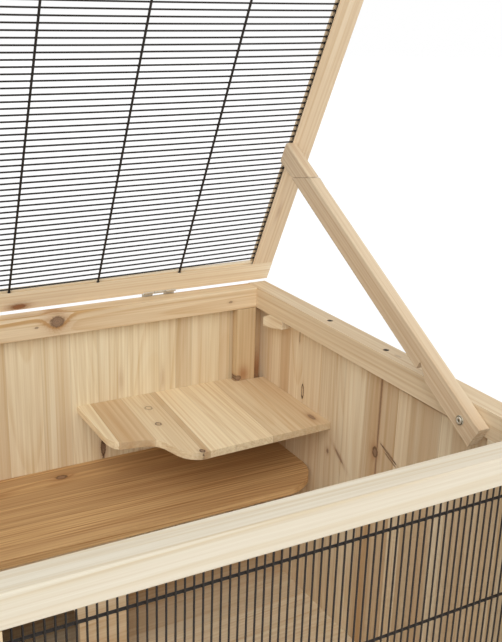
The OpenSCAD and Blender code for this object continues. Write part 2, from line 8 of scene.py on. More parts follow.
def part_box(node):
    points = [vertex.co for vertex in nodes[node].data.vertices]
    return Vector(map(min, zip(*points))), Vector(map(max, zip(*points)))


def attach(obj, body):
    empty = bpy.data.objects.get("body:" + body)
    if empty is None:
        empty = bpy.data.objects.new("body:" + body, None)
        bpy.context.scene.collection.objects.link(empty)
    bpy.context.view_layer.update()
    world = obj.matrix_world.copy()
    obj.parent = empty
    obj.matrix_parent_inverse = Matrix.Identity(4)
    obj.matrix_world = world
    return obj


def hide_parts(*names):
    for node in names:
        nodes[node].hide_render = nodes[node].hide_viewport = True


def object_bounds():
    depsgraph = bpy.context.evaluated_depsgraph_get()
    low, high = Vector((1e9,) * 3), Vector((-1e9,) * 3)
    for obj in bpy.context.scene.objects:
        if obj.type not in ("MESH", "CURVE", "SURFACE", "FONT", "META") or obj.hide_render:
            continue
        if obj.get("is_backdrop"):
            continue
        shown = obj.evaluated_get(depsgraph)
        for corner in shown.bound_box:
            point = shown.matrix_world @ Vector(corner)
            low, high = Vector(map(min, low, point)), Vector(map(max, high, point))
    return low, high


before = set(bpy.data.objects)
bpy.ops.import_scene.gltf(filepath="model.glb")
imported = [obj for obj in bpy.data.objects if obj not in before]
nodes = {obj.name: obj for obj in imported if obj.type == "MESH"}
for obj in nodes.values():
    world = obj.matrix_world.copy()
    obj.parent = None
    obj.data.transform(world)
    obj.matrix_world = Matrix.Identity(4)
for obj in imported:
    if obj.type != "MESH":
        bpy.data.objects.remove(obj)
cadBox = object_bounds()

mm = 0.001


def linear(code):
    parts = [int(code[i:i + 2], 16) / 255 for i in (1, 3, 5)]
    return tuple(c / 12.92 if c <= 0.04045 else ((c + 0.055) / 1.055) ** 2.4 for c in parts) + (1.0,)


# Gives the function that adds nodes to a tree, by the end of their Blender name. Of the inputs, a value is set, a node
# or socket is linked, and each of a list is linked in turn.
def nodeAdder(tree):
    families = ("ShaderNode",) if tree.type == "SHADER" else ("GeometryNode", "ShaderNode", "FunctionNode")

    def addNode(kind, inputs=(), **settings):
        known = [family + kind for family in families if hasattr(bpy.types, family + kind)]
        made = tree.nodes.new(known[0] if known else "Node" + kind)
        for key, value in settings.items():
            setattr(made, key, value)
        for key, value in inputs.items() if isinstance(inputs, dict) else enumerate(inputs):
            for one in value if isinstance(value, list) else [value]:
                if isinstance(one, bpy.types.Node):
                    one = next(o for o in one.outputs if o.enabled)
                if isinstance(one, bpy.types.NodeSocket):
                    tree.links.new(one, made.inputs[key])
                else:
                    made.inputs[key].default_value = one
        return made

    return addNode


# A tree's inputs and outputs are each given by their usual value, or by their kind where they have none.
def newTree(name, kind, takes, gives):
    tree = bpy.data.node_groups.new(name, kind)
    for way, sockets in (("INPUT", takes), ("OUTPUT", gives)):
        for label, usual in sockets.items():
            form = len(usual) if isinstance(usual, tuple) else type(usual)
            socketKind = {3: "Vector", 4: "Color", float: "Float", int: "Int"}.get(form, usual)
            made = tree.interface.new_socket(name=label, in_out=way, socket_type="NodeSocket" + socketKind)
            if usual != socketKind:
                made.default_value = usual
    add = nodeAdder(tree)
    return tree, add, add("GroupInput").outputs


def newMaterial(name):
    material = bpy.data.materials.new(name)
    material.use_nodes = True
    material.node_tree.nodes.clear()
    return material, nodeAdder(material.node_tree)


alongX, alongY, alongZ = (1, 0, 0), (0, 1, 0), (0, 0, 1)

# The lid stands open: what belongs to it is worked out closed and then turned about its hinge line.
hingeLine = Vector((0, 0.2965, 0.5062))
lidTurn = Matrix.Rotation(math.radians(-63), 3, "X")
lidPlace = Matrix.Translation(hingeLine) @ lidTurn.to_4x4()

# A knot goes through the board: a core, a dark rim, a warm halo, and grain that flows round it. With a thin
# half size it is a crack, and with a halo alone it is a stain.
knotTree, add, given = newTree(
    "knot", "ShaderNodeTree",
    {"Place": "Vector", "Centre": "Vector", "Half size": (8, 6, 60), "Lean": 0.0, "Swerve": 4.0, "Core": 1.0,
     "Rim": 1.0, "Halo": 0.2},
    {"Swerve": "Float", "Core": "Float", "Rim": "Float", "Halo": "Float"})
away = add("VectorMath", (given["Place"], given["Centre"]), operation="SUBTRACT")
away = add("VectorRotate", {"Vector": away, "Angle": given["Lean"]}, rotation_type="Z_AXIS", invert=True)
share = add("VectorMath", (away, given["Half size"]), operation="DIVIDE")
ragged = add("TexNoise", {"Vector": away, "Scale": 0.3, "Detail": 3.0})
reach = add("VectorMath", (share,), operation="LENGTH")
reach = add("Math", (ragged, 0.8, reach.outputs["Value"]), operation="MULTIPLY_ADD")
reach = add("Math", (reach, 0.4), operation="SUBTRACT")
core = add("MapRange", (reach, 0.75, 1.0, 1.0, 0.0), interpolation_type="SMOOTHSTEP")
whorl = add("Math", (reach, 16.0), operation="MULTIPLY")
whorl = add("Math", (whorl,), operation="SINE")
whorl = add("Math", (whorl, 0.14, 0.86), operation="MULTIPLY_ADD")
core = add("Math", (core, whorl), operation="MULTIPLY")
core = add("Math", (core, given["Core"]), operation="MULTIPLY")
inner = add("MapRange", (reach, 0.55, 0.85, 0.0, 1.0), interpolation_type="SMOOTHSTEP")
outer = add("MapRange", (reach, 0.92, 1.25, 1.0, 0.0), interpolation_type="SMOOTHSTEP")
rim = add("Math", (inner, outer), operation="MULTIPLY")
rim = add("Math", (rim, given["Rim"]), operation="MULTIPLY")
square = add("Math", (reach, reach), operation="MULTIPLY")
fall = add("Math", (square, -0.3), operation="MULTIPLY")
fall = add("Math", (fall,), operation="EXPONENT")
swerve = add("Math", (fall, given["Swerve"]), operation="MULTIPLY")
halo = add("Math", (fall, given["Halo"]), operation="MULTIPLY")
add("GroupOutput", {"Swerve": swerve, "Core": core, "Rim": rim, "Halo": halo})

# Planed fir: rings round a pith below the face, cut into glued strips that each come from another log.
# The rings of the real wood are 1.5 to 3 mm apart; here they are 3 to 6.5 mm, to show at the render's size.
firTree, add, given = newTree(
    "planed fir", "ShaderNodeTree",
    {"Place": "Vector", "Strip": (0.5, 0, 0.5, 1), "Seam": 0.0, "Pith reach": 100.0, "Ring width": 4.0,
     "Pith depth": 40.0, "Taper": 0.06, "Wander": 8.0, "Seed": 1.0, "Ring strength": 0.5, "Streaks": 0.5,
     "Pale": linear("#E7D9BD"), "Late wood": linear("#CBA97A"), "Heart": linear("#BF9667"),
     "Knot core": linear("#8A6F58"), "Knot rim": linear("#4F3524"), "Resin": linear("#9A6236"),
     "Swerve": 0.0, "Core": 0.0, "Rim": 0.0, "Halo": 0.0, "End": 0.0},
    {"Colour": "Color", "Roughness": "Float", "Height": "Float"})
# The pith of each strip: how far across, how deep, and how it leans along the board.
spot = add("SeparateXYZ", (given["Place"],))
strip = add("SeparateColor", (given["Strip"],))
pith = add("Math", (strip.outputs["Blue"], 0.5), operation="SUBTRACT")
pith = add("Math", (pith, given["Pith reach"]), operation="MULTIPLY")
numbered = add("Math", (strip.outputs["Blue"], 311.0, given["Seed"]), operation="MULTIPLY_ADD")
chance = add("TexWhiteNoise", {"W": numbered}, noise_dimensions="1D")
draw = add("SeparateColor", (chance.outputs["Color"],))
fromPithY = add("Math", (spot.outputs["Y"], pith), operation="SUBTRACT")
deep = add("Math", (draw.outputs["Red"], 0.5), operation="ADD")
deep = add("Math", (deep, given["Pith depth"], spot.outputs["Z"]), operation="MULTIPLY_ADD")
lean = add("MapRange", (draw.outputs["Green"], 0.0, 1.0, -1.0, 1.0))
lean = add("Math", (lean, given["Taper"]), operation="MULTIPLY")
fromPithZ = add("Math", (spot.outputs["X"], lean, deep), operation="MULTIPLY_ADD")
# The distance to the pith, a little disturbed, makes the rings; each ring has its own depth of late wood.
shift = add("Math", (numbered, 7.7), operation="MULTIPLY")
offset = add("CombineXYZ", (shift, shift, 0.0))
loose = add("VectorMath", (given["Place"], (0.003, 0.016, 0.016)), operation="MULTIPLY")
loose = add("VectorMath", (loose, offset), operation="ADD")
drift = add("TexNoise", {"Vector": loose, "Scale": 1.0, "Detail": 2.0, "Roughness": 0.45})
drift = add("Math", (drift, 0.5), operation="SUBTRACT")
flat = add("CombineXYZ", (fromPithY, fromPithZ, 0.0))
radius = add("VectorMath", (flat,), operation="LENGTH")
radius = add("Math", (drift, given["Wander"], radius.outputs["Value"]), operation="MULTIPLY_ADD")
radius = add("Math", (radius, given["Swerve"]), operation="ADD")
rings = add("Math", (radius, given["Ring width"]), operation="DIVIDE")
ringNumber = add("Math", (rings,), operation="FLOOR")
ringPart = add("Math", (rings,), operation="FRACT")
rise = add("MapRange", (ringPart, 0.3, 0.85, 0.0, 1.0), interpolation_type="SMOOTHSTEP")
drop = add("MapRange", (ringPart, 0.88, 1.0, 1.0, 0.0), interpolation_type="SMOOTHSTEP")
late = add("Math", (rise, drop), operation="MULTIPLY")
ringSeed = add("Math", (ringNumber, numbered), operation="ADD")
ringChance = add("TexWhiteNoise", {"W": ringSeed}, noise_dimensions="1D")
ringDepth = add("MapRange", (ringChance.outputs["Value"], 0.0, 1.0, 0.1, 1.0))
late = add("Math", (late, ringDepth), operation="MULTIPLY")
late = add("Math", (late, given["Ring strength"]), operation="MULTIPLY")
# Fibres, long streaks and broad warm parts.
thread = add("VectorMath", (given["Place"], (0.008, 0.7, 0.7)), operation="MULTIPLY")
fibre = add("TexNoise", {"Vector": thread, "Scale": 1.0, "Detail": 3.0, "Roughness": 0.6})
streak = add("VectorMath", (given["Place"], (0.0025, 0.22, 0.22)), operation="MULTIPLY")
streak = add("VectorMath", (streak, offset), operation="ADD")
streak = add("TexNoise", {"Vector": streak, "Scale": 1.0, "Detail": 3.0, "Roughness": 0.65})
broad = add("VectorMath", (given["Place"], (0.0022, 0.045, 0.045)), operation="MULTIPLY")
broad = add("VectorMath", (broad, offset), operation="ADD")
broad = add("TexNoise", {"Vector": broad, "Scale": 1.0, "Detail": 2.0})
veil = add("MapRange", (streak, 0.4, 0.68, 0.0, 1.0))
veil = add("Math", (veil, given["Streaks"]), operation="MULTIPLY")
warmth = add("MapRange", (fibre, 0.4, 0.75, 0.0, 0.16))
warmth = add("Math", (late, warmth), operation="ADD")
warmth = add("Math", (warmth, veil), operation="ADD", use_clamp=True)
wood = add("Mix", {0: warmth, 6: given["Pale"], 7: given["Late wood"]}, data_type="RGBA")
heart = add("MapRange", (broad, 0.3, 0.7, 0.35, 1.0))
heartShare = add("Math", (strip.outputs["Green"], 0.1), operation="ADD")
heart = add("Math", (heart, heartShare), operation="MULTIPLY", use_clamp=True)
wood = add("Mix", {0: heart, 6: wood, 7: given["Heart"]}, data_type="RGBA")
# The tone of the strip, darker in its glue lines and on sawn ends, and then the knots.
tone = add("MapRange", (strip.outputs["Red"], 0.0, 1.0, 0.72, 1.28))
grey = add("MapRange", (streak, 0.25, 0.75, 0.05, -0.05))
tone = add("Math", (tone, grey), operation="ADD")
seam = add("Math", (given["Seam"], -0.22), operation="MULTIPLY")
tone = add("Math", (tone, seam), operation="ADD")
cut = add("Math", (given["End"], -0.14), operation="MULTIPLY")
tone = add("Math", (tone, cut), operation="ADD")
wood = add("VectorMath", {0: wood, "Scale": tone}, operation="SCALE")
wood = add("Mix", {0: given["Halo"], 6: wood, 7: given["Resin"]}, data_type="RGBA")
wood = add("Mix", {0: given["Core"], 6: wood, 7: given["Knot core"]}, data_type="RGBA")
wood = add("Mix", {0: given["Rim"], 6: wood, 7: given["Knot rim"]}, data_type="RGBA")
gloss = add("MapRange", (warmth, 0.0, 1.0, 0.68, 0.58))
relief = add("Math", (late, 0.6, fibre), operation="MULTIPLY_ADD")
add("GroupOutput", {"Colour": wood, "Roughness": gloss, "Height": relief})


shortestStrip = 12


# A board's strips, each with its start across the board in mm, its tone, its warmth and the place of its pith.
def layStrips(look, low, high, seed):
    chance = random.Random(seed)
    shown = look.get("strips", [])
    stop = shown[0][0] if shown else high
    table = []
    start = low
    while start < stop - shortestStrip:
        width = look["strip"] * chance.uniform(0.7, 1.3)
        width = stop - start if start + width > stop - shortestStrip else width
        middle = start + min(width, high - low) / 2
        table.append((start, chance.uniform(-1, 1) * look["tones"], chance.uniform(0, 1) * look["warm"],
                      middle + chance.uniform(-1, 1) * look["pith"]))
        start += width
    for number, strip in enumerate(shown):
        end = shown[number + 1][0] if number + 1 < len(shown) else high
        side = (end + strip[0]) / 2 + chance.uniform(-1, 1) * look["pith"]
        table.append(strip if len(strip) > 3 else (*strip, side))
    return table


# A knot's middle and half its size along and across the grain in mm, and how dark its core, rim and halo are.
def knot(at, size, core=0.8, rim=0.8, halo=0.25, lean=0, swerve=None):
    depth = 40
    return at, {"Half size": (*size, depth), "Core": core, "Rim": rim, "Halo": halo, "Lean": math.radians(lean),
                "Swerve": size[1] * 0.7 if swerve is None else swerve}


glueLine = 0.7  # the width of a seam between two strips, in mm


def firBoard(label, board, seed):
    low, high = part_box(label)
    centre = (low + high) / 2
    grain, face = Vector(board["grain"]).normalized(), Vector(board["face"])
    axes = Matrix((grain, face.cross(grain), face)).transposed()
    look = board["look"]
    if look.get("onLid"):
        axes = lidTurn @ axes
    turned = axes.transposed()
    half = sum(abs(turned[1][i]) * (high - low)[i] for i in range(3)) / 2 / mm
    middle = (turned @ centre)[1] / mm
    low, high = middle - half - 1, middle + half + 1
    pithReach = 8 * half
    material, add = newMaterial("planed fir " + label)
    coordinates = add("TexCoord").outputs
    place = add("Mapping", {"Vector": coordinates["Object"], "Location": tuple(centre), "Scale": (mm, mm, mm),
                            "Rotation": axes.to_euler()}, vector_type="TEXTURE")
    across = add("SeparateXYZ", (place,)).outputs["Y"]
    # Two ramps a glue line apart hold each strip's tone, warmth and pith. Where they differ there is a seam.
    strips = layStrips(look, low, high, seed)
    ramps = []
    for nudge in (-glueLine / 2, glueLine / 2):
        share = add("MapRange", (across, low - middle + nudge, high - middle + nudge, 0.0, 1.0))
        ramp = add("ValToRGB", (share,))
        ramp.color_ramp.interpolation = "CONSTANT"
        ramp.color_ramp.elements.remove(ramp.color_ramp.elements[1])
        for number, (start, tone, warmth, pith) in enumerate(strips):
            spot = max(0.0, (start - low) / (high - low))
            stop = ramp.color_ramp.elements[0] if number == 0 else ramp.color_ramp.elements.new(spot)
            stop.color = (0.5 + tone / 2, warmth, 0.5 + (pith - middle) / pithReach, 1)
        ramps.append(ramp)
    seam = add("VectorMath", (ramps[0], ramps[1]), operation="DISTANCE")
    seam = add("Math", (seam.outputs["Value"], 0.004), operation="GREATER_THAN")
    seam = add("Math", (seam, look["seam"]), operation="MULTIPLY")
    facing = add("VectorMath", (coordinates["Normal"], tuple(axes @ Vector(alongX))), operation="DOT_PRODUCT")
    facing = add("Math", (facing.outputs["Value"],), operation="ABSOLUTE")
    cutEnd = add("MapRange", (facing, 0.8, 0.95, 0.0, 1.0))
    sums = {"Swerve": 0.0, "Core": 0.0, "Rim": 0.0, "Halo": 0.0}
    for at, form in board.get("knots", []):
        spot = turned @ (Vector(at) * mm - centre) / mm
        made = add("Group", {"Place": place, "Centre": spot, **form}, node_tree=knotTree).outputs
        for key in sums:
            sums[key] = add("Math", (made[key], sums[key]), operation="ADD" if key == "Swerve" else "MAXIMUM")
    tones = {key: linear(value) if isinstance(value, str) else value for key, value in look["fir"].items()}
    fir = add("Group", {"Place": place, "Strip": ramps[0], "Seam": seam, "End": cutEnd, "Seed": float(seed),
                        "Pith reach": pithReach, **tones, **sums}, node_tree=firTree).outputs
    bump = add("Bump", {"Strength": 0.3, "Distance": 0.0002, "Height": fir["Height"]})
    add("OutputMaterial", {"Surface": add("BsdfPrincipled", {
        "Base Color": fir["Colour"], "Roughness": fir["Roughness"], "Normal": bump, "IOR": 1.5,
        "Specular IOR Level": 0.35})})
    return material


print("materials: fir")

# Planed timber has its long arrises taken off by about a millimetre, while saw-cut ends stay sharp. An arris runs
# within 14 degrees of the grain, and only folds of more than 34 degrees are eased.
marks, add, given = newTree(
    "arris marks", "GeometryNodeTree",
    {"Geometry": "Geometry", "Grain": (1, 0, 0), "Along": 1.0, "Cut": 0.3},
    {"Geometry": "Geometry"})
ends = add("InputMeshEdgeVertices")
course = add("VectorMath", (ends.outputs["Position 1"], ends.outputs["Position 2"]), operation="SUBTRACT")
course = add("VectorMath", (course,), operation="NORMALIZE")
course = add("VectorMath", (course, given["Grain"]), operation="DOT_PRODUCT")
course = add("Math", (course.outputs["Value"],), operation="ABSOLUTE")
course = add("Compare", (course, 0.97), operation="GREATER_THAN")
amount = add("Switch", {"Switch": course, "False": given["Cut"], "True": given["Along"]}, input_type="FLOAT")
fold = add("InputMeshEdgeAngle")
fold = add("Compare", (fold.outputs["Unsigned Angle"], 0.6), operation="GREATER_THAN")
amount = add("Math", (amount, fold), operation="MULTIPLY")
marked = add("RemoveAttribute", {"Geometry": given["Geometry"], "Name": "custom_normal"})
marked = add("SetShadeSmooth", {0: marked, "Shade Smooth": True}, domain="FACE")
marked = add("SetShadeSmooth", {0: marked, "Selection": fold, "Shade Smooth": False}, domain="EDGE")
marked = add("StoreNamedAttribute", {"Geometry": marked, "Name": "bevel_weight_edge", "Value": amount},
             data_type="FLOAT", domain="EDGE")
add("GroupOutput", (marked,))


def setInput(modifier, label, value):
    for socket in modifier.node_group.interface.items_tree:
        if socket.item_type == "SOCKET" and socket.in_out == "INPUT" and socket.name == label:
            modifier[socket.identifier] = value


# The stored mesh stays as it is: these are live modifiers. The width is in mm, and cut is the share of it at sawn ends.
def easeEdges(piece, grain, width, cut=0.3):
    weld = piece.modifiers.new("weld", "WELD")
    weld.merge_threshold = 0.01 * mm
    arris = piece.modifiers.new("arris marks", "NODES")
    arris.node_group = marks
    setInput(arris, "Grain", tuple(grain))
    setInput(arris, "Cut", cut)
    eased = piece.modifiers.new("eased edges", "BEVEL")
    eased.width = width * mm
    eased.segments = 3
    eased.limit_method = "WEIGHT"
    eased.harden_normals = True


rampSlope, propSlope = math.radians(28.5), math.radians(30.9)
rampLine = (math.cos(rampSlope), 0, math.sin(rampSlope))
propLine = (0, math.cos(propSlope), math.sin(propSlope))
wholeBoard = 9000  # a strip that is wider than any board

# What the fir of rails and of glued boards is like, in mm. A look adds how wide its strips are, how far they differ in
# tone and warmth, how far their pith lies off the middle, and how dark the seams are.
railFir = {"Ring width": 4.2, "Pith depth": 34.0, "Taper": 0.02, "Wander": 3.0, "Ring strength": 0.6, "Streaks": 0.4,
           "Pale": "#ECD8B6", "Late wood": "#CBA470"}
wallFir = {"Ring width": 3.1, "Pith depth": 60.0, "Taper": 0.05, "Wander": 3.0, "Ring strength": 0.32, "Streaks": 0.42}
rail = {"strip": wholeBoard, "tones": 0.08, "warm": 0.25, "pith": 30, "seam": 0.0, "fir": railFir}
wall = {"strip": 48, "tones": 0.18, "warm": 0.5, "pith": 45, "seam": 0.5, "fir": wallFir}
# Paler fir for the lid's frame is painted light, so that the open lid's rails and stiles look as pale as lit ones.
lidRailPaintedLight = dict(rail, onLid=True, fir=dict(railFir, Pale="#F0E0C4", **{"Late wood": "#D8B98C", "Ring strength": 0.35}))
prop = dict(rail, strips=[(-wholeBoard, -0.14, 0.25, 500)],
            fir=dict(railFir, Pale="#EADABD", Wander=2.0, Taper=0.0, **{"Late wood": "#C8A078", "Ring strength": 0.45}))

# Glued strips that show: start across the board in mm, tone, warmth, and for some the place of the pith.
# The back panel's last strip, from 531 mm, is darker and warmer as painted shade in the recess behind the corner
# batten.
backStrips = [(172, 0.3, 0.15, 203), (222, 0.2, 0.2), (262, 0.26, 0.0), (301, 0.16, 0.1), (345, 0.2, 0.05),
              (392, 0.1, 0.1), (421, -0.16, 0.45), (446, 0.04, 0.2), (492, -0.06, 0.45), (507, -0.6, 1.0),
              (531, -0.3, 0.8)]
sideStrips = [(-190, -0.04, 0.45), (-148, 0.08, 0.0), (-129, -0.14, 0.55), (-75, 0.22, 0.1), (-50, -0.1, 0.6),
              (-13, -0.14, 0.8), (16, 0.14, 0.0), (60, -0.08, 0.2), (117, 0.06, 0.25), (164, 0.12, 0.15),
              (199, -0.16, 0.65), (223, 0.12, 0.15), (249, 0.02, 0.4)]
shelfStrips = [(200, 0.3, 0.0), (270.5, 0.1, 0.8, 300), (316.5, 0.14, 0.25), (360, -0.1, 0.7), (369.5, 0.4, 0.0),
               (406.5, 0.3, 0.0), (462.5, 0.04, 0.35), (512.5, -0.02, 0.45)]
# The platform's strips under the shelf are darker and warmer: partly the wood's own tone, partly painted shade cast by
# the shelf.
platformStripsWithShade = [(120, 0.1, 0.2, 60), (160, -0.1, 0.6, 110), (207, -0.2, 0.8, 150),
                  (236, 0.0, 0.5, 240), (262, -0.2, 0.9, 330), (278, 0.1, 0.2, 330)]

# How a board lies: the way of its grain, and the face that shows.
lying, lyingDeep = {"grain": alongX, "face": alongZ}, {"grain": alongY, "face": alongZ}
upright, level = {"grain": alongZ, "face": (0, -1, 0)}, {"grain": alongX, "face": (0, -1, 0)}
lidLong, lidDeep = {"grain": alongX, "face": (0, 0, -1)}, {"grain": alongY, "face": (0, 0, -1)}

boards = {
    "feet": dict(lying, eased=1.5, look=rail),
    "back_bottom_rail": dict(lying, eased=1.6, look=rail),
    "front_bottom_rail": dict(lying, eased=1.6, look=rail),
    "left_bottom_rail": dict(lyingDeep, eased=1.6, look=rail),
    "right_bottom_rail": dict(lyingDeep, eased=1.6, look=rail),
    "floor_bearer": dict(lyingDeep, eased=1.2, look=rail),
    "floor_panel": dict(lying, eased=0.6, look=dict(wall, strip=62)),
    "back_panel": {
        "grain": (0, 0, -1), "face": (0, -1, 0), "eased": 0.5,
        "look": dict(wall, strips=backStrips, fir=dict(wallFir, Pale="#E8DCBE", **{"Late wood": "#CBAD7A"})),
        "knots": [knot((308.7, 287, 286), (13, 3.4), 1.0, 0.9, 0.5), knot((308.7, 287, 277), (22, 1.3), 1.0, 1.0, 0.3),
                  knot((337, 287, 385), (10, 2.2), 0.0, 0.0, 0.3, swerve=1.5),
                  knot((401, 287, 377), (10, 2.2), 0.0, 0.0, 0.3, swerve=1.5),
                  # Painted shade: a dark stain at the foot of the recess behind the corner batten, just above the
                  # shelf.
                  knot((558, 287, 366), (16, 9), 0.0, 0.0, 0.8, swerve=0)]},
    "left_panel": {
        "grain": alongZ, "face": alongX, "eased": 0.5, "look": wall,
        "knots": [knot((-562, 40, 380), (7, 4)), knot((-562, -130, 300), (6, 4))]},
    "right_panel": {
        "grain": alongZ, "face": (-1, 0, 0), "eased": 0.5, "look": dict(wall, strips=sideStrips),
        "knots": [knot((562, 162.4, 375), (11, 3.0), 0.35, 1.0, 0.1),
                  # Painted shadow: a thin dark line right under the right top rail, for the shade in the gap between
                  # rail and panel.
                  knot((562, -122, 459.3), (1.2, 78), 0.45, 0.1, 0.4, swerve=0),
                  knot((562, 92.5, 312.6), (3.4, 2.4), 0.9, 0.2, 0.5),
                  knot((562, 65, 316.8), (12, 2.3), 0.8, 0.3, 0.5, lean=233),
                  knot((562, -14.8, 420), (64, 1.5), 0.9, 0.3, 0.6, swerve=0),
                  knot((562, -14.8, 340), (34, 1.1), 0.9, 0.3, 0.6, swerve=0),
                  knot((562, -11.4, 358), (7, 5), 0.9, 0.7, 0.6),
                  knot((562, -38.6, 367), (17, 1.5), 0.9, 0.9, 0.3, lean=247, swerve=0.5),
                  knot((562, -43, 361), (12, 1.2), 0.9, 0.7, 0.3, lean=247, swerve=0.5),
                  knot((562, 176, 452), (9, 1.2), 0.7, 0.4, 0.3, swerve=0)]},
    "back_left_batten": dict(upright, eased=1.2, look=rail),
    "back_right_batten": dict(
        upright, eased=1.2, look=dict(rail, strips=[(-wholeBoard, -0.55, 0.5)], fir=dict(railFir, Pale="#E8D2AA")),
        knots=[knot((527, 273, 367), (7, 5), 0.0, 0.0, 0.7, swerve=0),
               knot((518, 273, 362), (4, 5), 0.9, 0.6, 0.5, swerve=0)]),
    "corner_blocks": {
        "grain": alongY, "face": (-1, 0, 0), "eased": 1.4,
        "look": dict(rail, tones=0, warm=0, fir=dict(railFir, Pale="#EFE2C6", **{"Ring strength": 0.3}))},
    "back_top_rail": dict(
        level, eased=1.8, look=dict(rail, tones=0, warm=0.1, fir=dict(
            railFir, Taper=0.09, **{"Ring width": 6.5, "Ring strength": 1.0, "Pith depth": 20.0})),
        knots=[knot((244.2, 273, 489.5), (9.5, 7.4), 1.0, 0.5, 0.6, swerve=9),
               knot((216, 273, 485), (2.6, 1.4), 0.8, 0.3, 0.2), knot((503, 273, 483), (3, 1.6), 0.8, 0.3, 0.2),
               knot((-310, 273, 484), (7, 5))]),
    "front_top_rail": dict(lying, eased=1.8, look=dict(
        rail, tones=0, warm=0.05, fir=dict(railFir, Pale="#EAE3D1", **{"Late wood": "#DCCBAA"}))),
    "left_top_rail": dict(lyingDeep, eased=2.2, look=rail),
    "right_top_rail": dict(
        lyingDeep, eased=3.0, look=dict(rail, tones=0, warm=0.2, fir=dict(
            railFir, Pale="#E6D4B5", **{"Late wood": "#C8A474", "Ring strength": 0.26, "Streaks": 0.34})),
        knots=[knot((559.5, -43, 500), (6, 2.2), 0.3, 0.1, 0.1, swerve=0)]),
    **{"front_%s_post" % side: dict(upright, eased=1.4, look=rail) for side in ("left", "right", "centre")},
    "kick_boards": dict(level, eased=0.8, look=dict(wall, strip=45),
                        knots=[knot((320, -290, 100), (9, 6)), knot((-210, -290, 84), (7, 5))]),
    "front_sills": dict(lying, eased=1.4, look=rail),
    "door_stop": {"grain": alongZ, "face": alongX, "eased": 1.0, "look": rail},
    "corner_shelf": {
        "grain": (-0.065, -1, 0), "face": alongZ, "eased": 0.9,
        "look": dict(wall, strips=shelfStrips, seam=0.7, fir=dict(
            wallFir, Pale="#EADAB8", **{"Late wood": "#CAA26C", "Ring strength": 0.26, "Streaks": 0.34})),
        "knots": [knot((358.4, 239, 357.5), (6, 5), 0.0, 0.45, 0.1),
                  knot((349.6, 185.5, 357.5), (5, 4), 0.4, 0.8, 0.15),
                  knot((367, 88.5, 357.5), (4.5, 3.4), 1.0, 1.0, 0.3),
                  knot((547.6, 115, 357.5), (9, 3.4), 0.8, 0.3, 0.6)]},
    # The platform's darker, browner fir is partly its own wood and partly painted shade from the shelf above.
    "platform": dict(
        lying, eased=0.9, look=dict(wall, strip=62, warm=0.7, strips=platformStripsWithShade, fir=dict(
            wallFir, Pale="#DCB782", **{"Late wood": "#9F6C38", "Ring strength": 0.7, "Streaks": 0.7})),
        knots=[knot((237, 259, 269), (8, 5), 0.8, 0.6, 0.6)]),
    "hide_front": dict(level, eased=0.8, look=dict(wall, strip=64)),
    "hide_sides": {"grain": alongY, "face": alongX, "eased": 0.8, "look": dict(wall, strip=64)},
    "ramp_board": {"grain": rampLine, "face": (-rampLine[2], 0, rampLine[0]), "eased": 0.8,
                   "look": dict(wall, strip=55)},
    "ramp_treads": dict(lyingDeep, eased=1.0, look=rail),
    # The lid's back rail and right stile also get a paler strip tone as painted light.
    "lid_back_rail": dict(
        lidLong, eased=1.2, look=dict(lidRailPaintedLight, tones=0, warm=0, strips=[(-wholeBoard, 0.4, 0.0)], fir=dict(
            railFir, Pale="#F1E3C8", **{"Late wood": "#DDBF92", "Ring strength": 0.35, "Knot core": "#9A6844",
                                        "Knot rim": "#6E4126"})),
        knots=[knot((199, 291.4, 511), (9, 3.8), 0.8, 0.4, 1.0, swerve=5)]),
    "lid_front_rail": dict(lidLong, eased=1.2, look=lidRailPaintedLight),
    "lid_left_stile": dict(lidDeep, eased=1.2, look=lidRailPaintedLight),
    "lid_right_stile": dict(lidDeep, eased=1.2, look=dict(lidRailPaintedLight, strips=[(-wholeBoard, 0.4, 0.25)]),
                            knots=[knot((556, 236, 620), (9, 1.6), 0.0, 0.0, 0.35)]),
    "prop_block": {"grain": propLine, "face": (-1, 0, 0), "eased": 1.4, "cut": 0.0, "look": prop},
    "prop_strut": {"grain": propLine, "face": (-1, 0, 0), "eased": 1.4, "cut": 0.0, "look": prop},
    **{"door_%s_stile" % side: dict(upright, eased=1.3, look=rail) for side in ("left", "right")},
    "door_top_rail": dict(level, eased=1.3, look=rail),
    "door_bottom_rail": dict(level, eased=1.3, look=rail, knots=[knot((-330, -300, 176), (6, 4))]),
    "door_knob": dict(lyingDeep, eased=0.3, look=rail),
    "turn_button": dict(upright, eased=1.4, look=rail),
}

for order, (name, board) in enumerate(boards.items()):
    piece = nodes[name]
    piece.data.materials.clear()
    piece.data.materials.append(firBoard(name, board, 3 + 7 * order))
    grain = Vector(board["grain"]).normalized()
    if board["look"].get("onLid"):
        grain = lidTurn @ grain
    easeEdges(piece, grain, board["eased"], board.get("cut", 0.3))
print("boards:", len(boards))


# Zinc-plated steel: pale, a little warm, satin from the plating bath, with small duller patches.
def zincPlated(name, bright, dull):
    material, add = newMaterial(name)
    spot = add("TexCoord").outputs["Object"]
    grit = add("TexNoise", {"Vector": spot, "Scale": 900.0, "Detail": 2.0})
    stain = add("TexNoise", {"Vector": spot, "Scale": 160.0, "Detail": 3.0})
    patch = add("MapRange", (stain, 0.4, 0.7, 0.0, 0.6))
    add("OutputMaterial", {"Surface": add("BsdfPrincipled", {
        "Base Color": add("Mix", {0: patch, 6: linear(bright), 7: linear(dull)}, data_type="RGBA"),
        "Metallic": 1.0, "Roughness": add("MapRange", (stain, 0.3, 0.7, 0.5, 0.64)),
        "Normal": add("Bump", {"Strength": 0.15, "Distance": 0.00005, "Height": grit})})})
    return material


zinc = zincPlated("zinc-plated steel", "#DEDACF", "#C2BEB2")
# A darker copy of the zinc is painted shade, for the recess and the rim of the prop's bolt.
zincPaintedShade = zincPlated("zinc-plated steel with painted shade", "#8A836C", "#6C6550")

